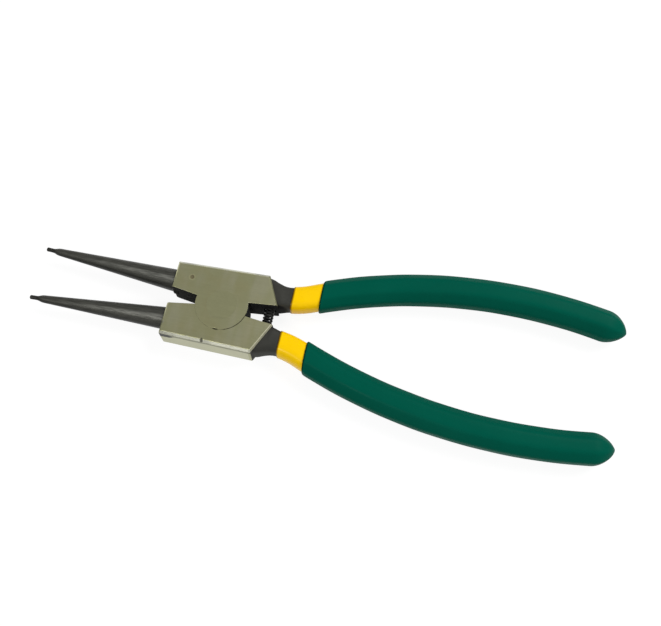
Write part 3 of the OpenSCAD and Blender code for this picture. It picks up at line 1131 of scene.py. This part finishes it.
@dataclass(frozen=True)
class TurnedTip:
    """Turned tip of a lever: a long cone with a fillet at the jaw, a shoulder and the nose."""

    reach: float = 59.0
    end_out: float = 8.2
    end_d: float = 2.3
    base_out: float = 6.3
    base_d: float = 7.0
    root: float = 1.5
    sides: int = 72
    rings_from: float = 2.5
    rings_back: float = 1.5
    rings: int = 22
    fillet: float = 0.5
    fillet_sink: float = 0.05
    fillet_share: float = 0.35
    fillet_soft: float = 0.3
    shoulder_len: float = 1.5
    shoulder_soft: float = 0.5
    nose_d: float = 1.3
    nose_len: float = 2.4
    nose_soft: float = 0.45
    nose_break: float = 0.2

    def solid(self, front: float) -> BMesh:
        """Builds the tip.

        Args:
            front: Distance from the pivot to the front of the jaw.

        Returns:
            The tip, rooted inside the jaw.
        """
        base = Vector((-front, self.base_out, 0))
        end = Vector((-self.reach, self.end_out, 0))
        length = (end - base).length
        cone_len = length - self.nose_len - self.shoulder_len
        slope = (self.base_d - self.end_d) / cone_len / 2
        base_r, nose_r = self.base_d / 2, self.nose_d / 2
        foot_r = base_r + self.fillet
        profile = [(0, -self.root, 0), (foot_r, -self.root, 0), (foot_r, -self.fillet_sink, 0),
                   (base_r - slope * self.fillet, self.fillet * self.fillet_share, self.fillet_soft)]
        profile += [(base_r - slope * z, z, 0)
                    for z in steps(self.rings_from, cone_len - self.rings_back, self.rings)]
        profile += [(self.end_d / 2, cone_len, self.shoulder_soft),
                    (nose_r, length - self.nose_len, self.nose_soft),
                    (nose_r, length - self.nose_break, 0), (nose_r - self.nose_break, length, 0),
                    (0, length, 0)]
        bm = turned(soften(profile), self.sides)
        turn = Vector((0, 0, 1)).rotation_difference(end - base).to_matrix().to_4x4()
        bm.transform(Matrix.Translation(base) @ turn)
        return bm


@dataclass(frozen=True)
class FaceSorting:
    """Sorts a lever's faces for its finish. A face's tilt is 0 when upright and 1 when level.

    Attributes:
        near: How far a face may lie past the front and the rear of the jaw block.
        face_near: How far under a chamfer it still counts as near the top or the bottom.
        side_near: How far inside the outer side it still counts as part of it.
        faces_out: How much a face of the outer side looks outward, at least.
        upright: Tilt below which a face is no part of a rounded edge.
        steep: Tilt below which it is part of a side.
        sloped: Tilt below which it can be part of the outer side or of its chamfers.
        level: Tilt over which it is part of the top or the bottom.
        chamfer_near: How far the tilt of a chamfer may be off.
    """

    near: float = 0.02
    face_near: float = 0.06
    side_near: float = 1.5
    faces_out: float = 0.5
    upright: float = 0.1
    steep: float = 0.25
    sloped: float = 0.8
    level: float = 0.995
    chamfer_near: float = 0.01

    def write(self, piece: Object, lever: "LeverForging") -> None:
        """Writes on each face whether it was ground, is an edge that wears, or lies on the outer side.

        Args:
            piece: The lever's piece, in millimetres.
            lever: The lever.
        """
        bm = bmesh.new()
        bm.from_mesh(piece.data)
        bmesh.ops.remove_doubles(bm, verts=bm.verts, dist=MERGE)
        ground, worn, side = (bm.faces.layers.float.new(mark.value)
                              for mark in (Mark.GROUND, Mark.WORN_EDGE, Mark.OUTER_SIDE))
        for face in bm.faces:
            centre, normal = face.calc_center_median(), face.normal
            tilt = abs(normal.z)
            before_rear = (centre - lever.rear_out).dot(lever.rear_outward) < self.near
            on_block = before_rear and centre.x > -lever.jaw_front - self.near
            near_face = abs(centre.z) > HALF_T - lever.side_break - self.face_near
            outermost = centre.y > lever.jaw_out_front - self.side_near and normal.y > self.faces_out
            outward = on_block and outermost
            face[side] = float(outward and tilt < self.sloped)
            wheel = (near_face and tilt > self.steep) or (outward and tilt < self.steep)
            face[ground] = float(on_block and wheel)
            chamfered = abs(tilt - math.sqrt(0.5)) < self.chamfer_near
            flat = tilt < self.upright or tilt > self.level or chamfered
            face[worn] = float(on_block and near_face and not flat)
        bm.to_mesh(piece.data)
        bm.free()


@dataclass(frozen=True)
class LeverForging:
    """One lever: tip, jaw block, half-lap disc, neck and tang."""

    handle: Handle
    jaw_out_front: float
    jaw_out_rear: float = 12.4
    jaw_front: float = 16.2
    rear_out_x: float = 12.1
    rear_in_x: float = 16.6
    front_gap: float = 2.7
    rear_gap: float = 3.1
    front_gap_root: float = 0.2
    rear_gap_root: float = 1.4
    side_break: float = 0.8
    edge_break: float = 0.5
    edge_round: float = 0.12
    edge_segments: int = 3
    edge_angle: float = math.radians(20)
    lap_r: float = 8.0
    lap_room: float = 0.025
    lap_round: float = 0.025
    lap_soft: float = 0.02
    lap_play: float = 0.06
    lap_sides: int = 128
    over: float = 1.0
    dimple_at: Span = (-10.9, 6.8)
    dimple_d: float = 1.3
    dimple_depth: float = 0.25
    dimple_fineness: int = 5
    steel_sides: int = 56
    root_rings: int = 12
    neck_rings: int = 22
    neck_start: float = 0.5
    tang_rings: int = 26
    tang_start: float = 2.0
    tang_back: float = 1.5
    tang_end: tuple[Span, ...] = ((0.8, 1.0), (0.3, 0.96), (0.0, 0.85))
    tip: TurnedTip = TurnedTip()
    sorting: FaceSorting = FaceSorting()

    @property
    def rear_out(self) -> Vector:
        """Rear corner on the outer side."""
        return Vector((self.rear_out_x, self.jaw_out_rear, 0))

    @property
    def rear_in(self) -> Vector:
        """Rear corner on the inner side."""
        return Vector((self.rear_in_x, self.rear_gap, 0))

    @property
    def rear_outward(self) -> Vector:
        """Direction in which the rear side faces."""
        along = (self.rear_in - self.rear_out).normalized()
        return Vector((-along.y, along.x, 0))

    def jaw_block(self) -> BMesh:
        """Jaw block with its ground chamfers and softened edges."""
        front_in = Vector((-self.jaw_front, self.front_gap, 0))
        front_out = Vector((-self.jaw_front, self.jaw_out_front, 0))
        roots = [Vector((0, self.front_gap_root, 0)), Vector((0, self.rear_gap_root, 0))]
        bm = bmesh.new()
        outline = [front_in, *roots, self.rear_in, self.rear_out, front_out]
        face = bm.faces.new([bm.verts.new(p - Vector((0, 0, HALF_T))) for p in outline])
        made = bmesh.ops.extrude_face_region(bm, geom=[face])["geom"]
        bmesh.ops.translate(bm, vec=(0, 0, HEAD_T), verts=[v for v in made if isinstance(v, BMVert)])
        bmesh.ops.recalc_face_normals(bm, faces=bm.faces)
        for start, end, width in ((front_in, front_out, self.edge_break),
                                  (front_out, self.rear_out, self.side_break),
                                  (self.rear_out, self.rear_in, self.edge_break)):
            self._chamfer(bm, start, end, width)
        edges = [e for e in bm.edges if e.calc_face_angle(0.0) > self.edge_angle]
        bmesh.ops.bevel(bm, geom=edges, offset=self.edge_round, offset_type="OFFSET",
                        segments=self.edge_segments, profile=0.5, affect="EDGES", material=-1,
                        clamp_overlap=True)
        bmesh.ops.recalc_face_normals(bm, faces=bm.faces)
        return bm

    @staticmethod
    def _chamfer(bm: BMesh, start: Vector, end: Vector, width: float) -> None:
        """Cuts a flat chamfer along the upper and lower edge of one side.

        Args:
            bm: The block.
            start: Corner from which the outside lies to the left on the way to end.
            end: The other corner.
            width: Width of the chamfer on each face.
        """
        along = (end - start).normalized()
        outward = Vector((-along.y, along.x, 0))
        for face in (1, -1):
            cut = bmesh.ops.bisect_plane(
                bm, geom=[*bm.verts, *bm.edges, *bm.faces], dist=MERGE, clear_outer=True,
                plane_co=start + Vector((0, 0, face * HALF_T)) - outward * width,
                plane_no=(outward + Vector((0, 0, face))).normalized())["geom_cut"]
            bmesh.ops.edgeloop_fill(bm, edges=[e for e in cut if isinstance(e, BMEdge)])

    def lap_seat(self) -> BMesh:
        """Seat of the other lever's disc, wider at its mouth."""
        radius = self.lap_r + self.lap_room
        mouth = radius + self.lap_round
        bottom, top = -HALF_T - self.over, self.lap_play / 2
        return turned(soften([(0, bottom, 0), (mouth, bottom, 0), (mouth, -HALF_T, 0),
                              (radius, -HALF_T + self.lap_round, self.lap_soft),
                              (radius, top, 0), (0, top, 0)]), self.lap_sides)

    def lap_disc(self) -> BMesh:
        """Half-thickness disc that laps into the other lever."""
        return turned(soften([(0, self.lap_play / 2, 0), (self.lap_r, self.lap_play / 2, 0),
                              (self.lap_r, HALF_T, self.lap_round), (0, HALF_T, 0)]), self.lap_sides)

    def shank(self) -> BMesh:
        """Neck and tang, rooted inside the head."""
        h = self.handle
        end = h.tang_tip
        stations = [*steps(h.root_x - h.neck_x, 0, self.root_rings),
                    *steps(self.neck_start, h.neck_run, self.neck_rings),
                    *steps(h.neck_run + self.tang_start, end - self.tang_back, self.tang_rings)]
        rings = [Ring(s) for s in stations]
        rings += [Ring(end - back, share=share) for back, share in self.tang_end]
        return loft([h.section(ring, h.steel_square, self.steel_sides) for ring in rings])

    def hardness_mark(self) -> BMesh:
        """Ball that presses the dimple of the hardness test."""
        depth = self.dimple_depth
        radius = (self.dimple_d ** 2 / 4 + depth ** 2) / (2 * depth)
        bm = bmesh.new()
        bmesh.ops.create_icosphere(bm, subdivisions=self.dimple_fineness, radius=radius)
        bmesh.ops.translate(bm, vec=(*self.dimple_at, HALF_T + radius - depth), verts=bm.verts)
        return bm

    def build(self, side: Side, rivet: "PivotRivet", spring: "ReturnSpring", material: Material) -> Object:
        """Builds one lever.

        Args:
            side: Which half it belongs to.
            rivet: The rivet that passes through it.
            spring: The spring that seats in it.
            material: Its finish.

        Returns:
            The lever.
        """
        piece = as_object(self.jaw_block(), f"{side.value}_forged_lever")
        combine(piece, self.lap_seat(), Joining.CUT)
        for solid in (self.lap_disc(), self.tip.solid(self.jaw_front), self.shank()):
            combine(piece, solid, Joining.ADD)
        combine(piece, rivet.space(side), Joining.CUT)
        combine(piece, spring.pocket(), Joining.CUT)
        if side is Side.UPPER:
            combine(piece, self.hardness_mark(), Joining.CUT)
        self.sorting.write(piece, self)
        finish_piece(piece, side.place, f"{side.value}_lever", material)
        even_flats(piece)
        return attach(piece, side.body)


@dataclass(frozen=True)
class PivotRivet:
    """Rivet with both heads countersunk and ground flush."""

    shank_d: float = 6.0
    head_d: float = 9.0
    sink: float = 1.6
    rim: float = 0.015
    fillet: float = 0.04
    tight_play: float = 0.01
    running_play: float = 0.015
    over: float = 1.0
    sharp: float = 30.0

    def space(self, side: Side) -> BMesh:
        """Hole for the rivet, which is tight in the lower lever and runs in the upper one."""
        play = self.running_play if side is Side.UPPER else self.tight_play
        head, shank, over = self.head_d / 2 + play, self.shank_d / 2 + play, HALF_T + self.over
        return turned([Vector(p) for p in (
            (0, -over), (head, -over), (head, -HALF_T), (shank, self.sink - HALF_T),
            (shank, HALF_T - self.sink), (head, HALF_T), (head, over), (0, over))])

    def build(self, material: Material) -> Object:
        """Builds the rivet on the lower half with the given finish."""
        head, shank = self.head_d / 2, self.shank_d / 2
        bm = turned(soften([
            (0, -HALF_T, 0), (head, -HALF_T, self.rim), (shank, self.sink - HALF_T, self.fillet),
            (shank, HALF_T - self.sink, self.fillet), (head, HALF_T, self.rim), (0, HALF_T, 0)]))
        piece = as_object(bm, "flush_rivet")
        finish_piece(piece, Side.UPPER.place, "pivot_rivet", material, self.sharp)
        even_flats(piece)
        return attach(piece, Side.LOWER.body)


@dataclass(frozen=True)
class ReturnSpring:
    """Compression spring with closed ends, across the gap behind the pivot."""

    lever: LeverForging
    x: float = 14.0
    outside_d: float = 3.2
    wire_d: float = 0.74
    live_turns: float = 9.0
    dead_turns: float = 1.0
    pocket_depth: float = 2.8
    pocket_room: float = 0.25
    pocket_round: float = 0.3
    pocket_sides: int = 48
    seat: float = 0.05
    wire_sides: int = 16
    turn_steps: int = 36

    @property
    def pocket_end(self) -> float:
        """Distance from the middle of the gap to the bottom of a pocket."""
        gap = lerp(self.lever.rear_gap_root, self.lever.rear_gap, self.x / self.lever.rear_in_x)
        return gap + self.pocket_depth

    @property
    def length(self) -> float:
        """Length at rest."""
        return 2 * (self.pocket_end - self.seat)

    @property
    def pitch(self) -> float:
        """Rise of one turn that carries load."""
        return (self.length - self.wire_d * (1 + 2 * self.dead_turns)) / self.live_turns

    def pocket(self) -> BMesh:
        """Blind pocket for one end of the spring."""
        radius = self.outside_d / 2 + self.pocket_room
        bm = turned(soften([(0, 0, 0), (radius, 0, 0), (radius, self.pocket_end, self.pocket_round),
                            (0, self.pocket_end, 0)]), self.pocket_sides)
        bm.transform(Matrix.Translation((self.x, 0, 0)) @ Matrix.Rotation(-math.pi / 2, 4, "X"))
        return bm

    def build(self, material: Material) -> Object:
        """Builds the spring with the given finish."""
        bm = bmesh.new()
        coil_r = (self.outside_d - self.wire_d) / 2
        loop = bmesh.ops.create_circle(bm, segments=self.wire_sides, radius=self.wire_d / 2)["verts"]
        low = (self.wire_d - self.length) / 2
        bmesh.ops.translate(bm, vec=(coil_r, low, 0), verts=loop)
        geom = [*bm.verts, *bm.edges]
        ends = [list(bm.edges)]
        for turns, rise in ((self.dead_turns, self.wire_d), (self.live_turns, self.pitch),
                            (self.dead_turns, self.wire_d)):
            count = round(turns * self.turn_steps)
            geom = bmesh.ops.spin(bm, geom=geom, cent=(0, 0, 0), axis=(0, -1, 0), steps=count,
                                  angle=turns * math.tau, dvec=(0, rise / self.turn_steps, 0))["geom_last"]
        ends.append([e for e in geom if isinstance(e, BMEdge)])
        for edges in ends:
            bmesh.ops.edgeloop_fill(bm, edges=edges)
        bmesh.ops.remove_doubles(bm, verts=bm.verts, dist=MERGE)
        bmesh.ops.recalc_face_normals(bm, faces=bm.faces)
        bmesh.ops.translate(bm, vec=(self.x, 0, 0), verts=bm.verts)
        piece = as_object(bm, "spring_coil")
        finish_piece(piece, Side.UPPER.place, "return_spring", material)
        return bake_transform(piece)


@dataclass(frozen=True)
class DippedCoat:
    """One dip of vinyl over a handle: a closed shell with a soft lip."""

    handle: Handle
    name: str
    node: str
    slot: str
    cover_in: float
    thickness: float
    square_in: float
    square_out: float
    inner_end: float
    round_from: float
    outer_end: float
    facet: float = NO_FACET
    lip_share: float = 0.55
    lip_len: float = 1.2
    lip_turn: Span = (math.radians(-75), math.radians(50))
    lip_from: float = 0.25
    lip_rings: int = 8
    lip_back: float = 0.5
    uneven: float = 0.06
    settle_run: float = 4.0
    sides: int = 96
    body_rings: int = 60
    body_gap: float = 1.0
    inner_rings: int = 60
    inner_back: float = 1.0
    inner_share: float = 0.97
    end_share: float = 0.2
    end_blunt: float = 12.0
    end_point: float = 0.001
    end_rings: int = 26
    sharp: float = 60.0

    def _lip(self, edge: float, lean: float) -> list[Ring]:
        """Rings of the rounded lip, from the inner edge out to the full thickness."""
        bead = self.thickness * self.lip_share / 2
        rings = [Ring(edge + bead * (1 - math.cos(a)), self.cover_in + bead * (1 + math.sin(a)), lean)
                 for a in steps(*self.lip_turn, self.lip_rings)]
        for k in steps(self.lip_from, 1, self.lip_rings):
            swell = lerp(self.lip_share, 1, 1 - (1 - k) ** 3)
            rings.append(Ring(edge + self.lip_len * k, self.cover_in + self.thickness * swell, lean))
        return rings

    def _round_end(self) -> list[Ring]:
        """Rings of the rounded end, closer together towards its tip."""
        cover = self.cover_in + self.thickness
        rings = []
        for k in steps(0, math.pi / 2, self.end_rings)[1:]:
            t = math.sin(k)
            rounding = max(math.sqrt(max(1 - t ** self.end_blunt, 0)), self.end_point)
            share = lerp(1, self.end_share, t ** 2) * rounding
            rings.append(Ring(lerp(self.round_from, self.outer_end, t), cover, 0, share))
        return rings

    def _outer_section(self, ring: Ring, edge: float) -> list[Vector]:
        """Points of one ring of the outside, which takes on its own shape as the lip swells.

        Args:
            ring: The ring.
            edge: Distance along the spine to the coat's edge.

        Returns:
            The points.
        """
        settle = min(max((ring.at - edge - self.lip_len) / self.settle_run, 0), 1)
        full = min((ring.cover - self.cover_in) / self.thickness, 1)
        square = lerp(self.square_in, self.square_out, full)
        facet = lerp(NO_FACET, self.facet, full)
        return self.handle.section(ring, square, self.sides, self.uneven * settle, facet)

    def build(self, side: Side, dip_x: float, material: Material) -> Object:
        """Builds the coat.

        Args:
            side: Which half it belongs to.
            dip_x: Where the coat's edge lies, along X.
            material: Its finish.

        Returns:
            The coat.
        """
        h, edge = self.handle, self.handle.run_at(dip_x)
        deepest, lip = self.inner_end - self.inner_back, edge + self.lip_back
        inside = [Ring(self.inner_end, self.cover_in, 0, self.inner_share)]
        inside += [Ring(s, self.cover_in, h.dip_lean(s, edge))
                   for s in steps(deepest, lip, self.inner_rings)]
        outside = self._lip(edge, h.dip_lean(edge, edge))
        outside += [Ring(s, self.cover_in + self.thickness, h.dip_lean(s, edge))
                    for s in steps(edge + self.lip_len + self.body_gap, self.round_from, self.body_rings)]
        outside += self._round_end()
        sections = [h.section(ring, self.square_in, self.sides) for ring in inside]
        sections += [self._outer_section(ring, edge) for ring in outside]
        from_lip = [ring.at - edge for ring in (*inside, *outside)]
        piece = as_object(loft(sections, from_lip, Mark.FROM_LIP), f"{side.value}_{self.name}")
        finish_piece(piece, side.place, f"{side.value}_{self.node}", material, self.sharp)
        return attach(piece, side.body)


@dataclass(frozen=True)
class Lamp:
    """A square soft lamp that faces the head.

    Attributes:
        name: Its name.
        place: Where it hangs, in metres.
        size: Length of its sides, in metres.
        power: Its power in watts.
    """

    name: str
    place: Point
    size: float
    power: float

    def build(self) -> None:
        """Hangs the lamp."""
        light = bpy.data.lights.new(self.name, "AREA")
        light.size, light.energy = self.size, self.power
        lamp = bpy.data.objects.new(self.name, light)
        lamp.location = self.place
        lamp.rotation_euler = Vector(self.place).to_track_quat("Z", "Y").to_euler()
        bpy.context.scene.collection.objects.link(lamp)


@dataclass(frozen=True)
class Studio:
    """Pale floor, soft lamps and the camera at the photograph's viewing angle."""

    floor_size: float = 6.0
    floor_drop: float = 0.0001
    floor_colour: Colour = (0.68, 0.68, 0.68, 1)
    floor_white: float = 0.78
    floor_glow: float = 1.15
    world_colour: Colour = (1, 1, 1, 1)
    world_level: float = 0.34
    lamps: tuple[Lamp, ...] = (Lamp("back_key", (0.5, 0.42, 0.66), 0.45, 6.0),
                               Lamp("front", (-0.17, -0.5, 0.75), 0.18, 2.2),
                               Lamp("low_front", (-0.08, -0.85, 0.31), 0.3, 0.5))
    camera_at: Point = (50.89, -82.14, 248.73)
    azimuth: float = math.radians(11.985)
    elevation: float = math.radians(69.777)
    focal_px: float = 852.9
    image_width: int = 661
    sensor: float = 36.0
    clip: Span = (0.01, 20.0)

    def floor(self) -> None:
        """Lays the floor under the head."""
        bm = bmesh.new()
        bmesh.ops.create_grid(bm, x_segments=1, y_segments=1, size=self.floor_size / 2)
        floor = as_object(bm, "floor")
        floor.data.transform(Matrix.Translation((0, 0, -self.floor_drop)))
        material = bpy.data.materials.new("pale_floor")
        material.use_nodes = True
        w = Wiring(material.node_tree)
        w.tree.nodes.clear()
        diffuse = w.node("ShaderNodeBsdfDiffuse")
        diffuse.inputs["Color"].default_value = self.floor_colour
        glow = w.node("ShaderNodeEmission")
        glow.inputs["Strength"].default_value = self.floor_glow
        seen = w.times(self._seen(w), self.floor_white)
        mixed = w.node("ShaderNodeMixShader")
        for socket, value in zip(mixed.inputs, (seen, diffuse.outputs[0], glow.outputs[0])):
            w.feed(socket, value)
        w.feed(w.node("ShaderNodeOutputMaterial").inputs["Surface"], mixed.outputs[0])
        floor.data.materials.append(material)

    @staticmethod
    def _seen(w: Wiring) -> NodeSocket:
        """1 for rays from the camera and for rays that metal mirrors."""
        path = w.node("ShaderNodeLightPath").outputs
        seen = w.plus(path["Is Camera Ray"], path["Is Glossy Ray"])
        return w.math("MINIMUM", w.plus(seen, path["Is Transmission Ray"]), 1.0)

    def world(self) -> None:
        """Even light from all round, which the camera sees as white."""
        world = bpy.data.worlds.new("studio")
        bpy.context.scene.world = world
        world.use_nodes = True
        w = Wiring(world.node_tree)
        background = world.node_tree.nodes["Background"]
        background.inputs["Color"].default_value = self.world_colour
        path = w.node("ShaderNodeLightPath").outputs
        w.feed(background.inputs["Strength"], w.blend(path["Is Camera Ray"], self.world_level, 1.0))

    def camera(self) -> None:
        """Adds the camera."""
        data = bpy.data.cameras.new("camera")
        data.sensor_width = self.sensor
        data.lens = self.focal_px / self.image_width * self.sensor
        data.clip_start, data.clip_end = self.clip
        camera = bpy.data.objects.new("camera", data)
        a, e = self.azimuth, self.elevation
        back = Vector((math.sin(a) * math.cos(e), -math.cos(a) * math.cos(e), math.sin(e)))
        right = Vector((math.cos(a), math.sin(a), 0))
        turn = Matrix((right, back.cross(right), back)).transposed().to_4x4()
        camera.matrix_world = Matrix.Translation(Vector(self.camera_at) * MM) @ turn
        bpy.context.scene.collection.objects.link(camera)
        bpy.context.scene.camera = camera

    def build(self) -> None:
        """Builds the studio."""
        bpy.context.scene.view_settings.view_transform = "Standard"
        self.floor()
        self.world()
        for lamp in self.lamps:
            lamp.build()
        self.camera()


@dataclass(frozen=True)
class Pliers:
    """The whole tool, built piece by piece."""

    handle: Handle = Handle()
    rivet: PivotRivet = PivotRivet()
    yellow: DippedVinyl = DippedVinyl("yellow_vinyl", (0.95, 0.59, 0.0, 1), (0.2, 0.1, 0.0, 1),
                                      gloss=(0.22, 0.36), specular=0.12)
    green: DippedVinyl = DippedVinyl("green_vinyl", (0.0, 0.083, 0.053, 1), (0.0, 0.026, 0.012, 1),
                                     gloss=(0.34, 0.5), specular=0.02)
    upper_jaw_front: float = 11.3
    lower_jaw_front: float = 12.5
    lower_jaw_rear: float = 12.9
    lower_rear_x: float = 11.86
    lower_bow_r: float = 168.0
    lower_neck_turn: float = math.radians(22.21)
    coat_from: float = 19.2
    coat_show: float = 8.4
    coat_square: float = 2.8
    coat_round: float = 1.0
    grip_square: float = 2.9
    grip_facet: float = 1.44
    ogive: float = 7.0
    dip_shift: float = 0.9

    def levers(self) -> dict[Side, LeverForging]:
        """The two levers, which differ a little in their outer sides and in the bows of their handles."""
        low = replace(self.handle, bow_r=self.lower_bow_r, neck_turn=self.lower_neck_turn)
        return {Side.UPPER: LeverForging(self.handle, jaw_out_front=self.upper_jaw_front),
                Side.LOWER: LeverForging(low, jaw_out_front=self.lower_jaw_front,
                                         jaw_out_rear=self.lower_jaw_rear, rear_out_x=self.lower_rear_x)}

    def coats_over(self, h: Handle) -> tuple[DippedCoat, DippedCoat]:
        """The first coat over a handle and the grip over that."""
        under = h.coat_t + 2 * h.play
        first = DippedCoat(h, "yellow_coat", "first_coat", "yellow_vinyl", h.play, h.coat_t,
                           h.steel_square, self.coat_square, inner_end=h.tang_tip + h.play,
                           round_from=h.coat_tip - self.coat_round, outer_end=h.coat_tip)
        grip = DippedCoat(h, "green_grip", "grip", "green_vinyl", under, h.grip_t,
                          self.coat_square, self.grip_square, inner_end=h.coat_tip + h.play,
                          round_from=h.grip_tip - self.ogive, outer_end=h.grip_tip,
                          facet=self.grip_facet)
        return first, grip

    def build(self) -> None:
        """Builds every piece in its finish."""
        effects = SurfaceEffects()
        levers = self.levers()
        spring = ReturnSpring(levers[Side.UPPER])
        steel = ForgedSteel("forged_steel").material(effects, levers[Side.UPPER])
        yellow, green = self.yellow.material(effects), self.green.material(effects)
        for side, lever in levers.items():
            shift = self.dip_shift if side is Side.UPPER else 0.0
            first, grip = self.coats_over(lever.handle)
            lever.build(side, self.rivet, spring, steel)
            first.build(side, self.coat_from + shift, yellow)
            grip.build(side, self.coat_from + self.coat_show + shift, green)
        self.rivet.build(GroundRivet("rivet_steel").material(effects))
        spring.build(SpringWire("spring_wire").material(effects))


def main() -> None:
    """Builds the studio and the pliers, and logs each piece's face count."""
    logging.basicConfig(level=logging.INFO, format="%(name)s: %(message)s")
    Studio().build()
    Pliers().build()


if __name__ == "__main__":
    main()
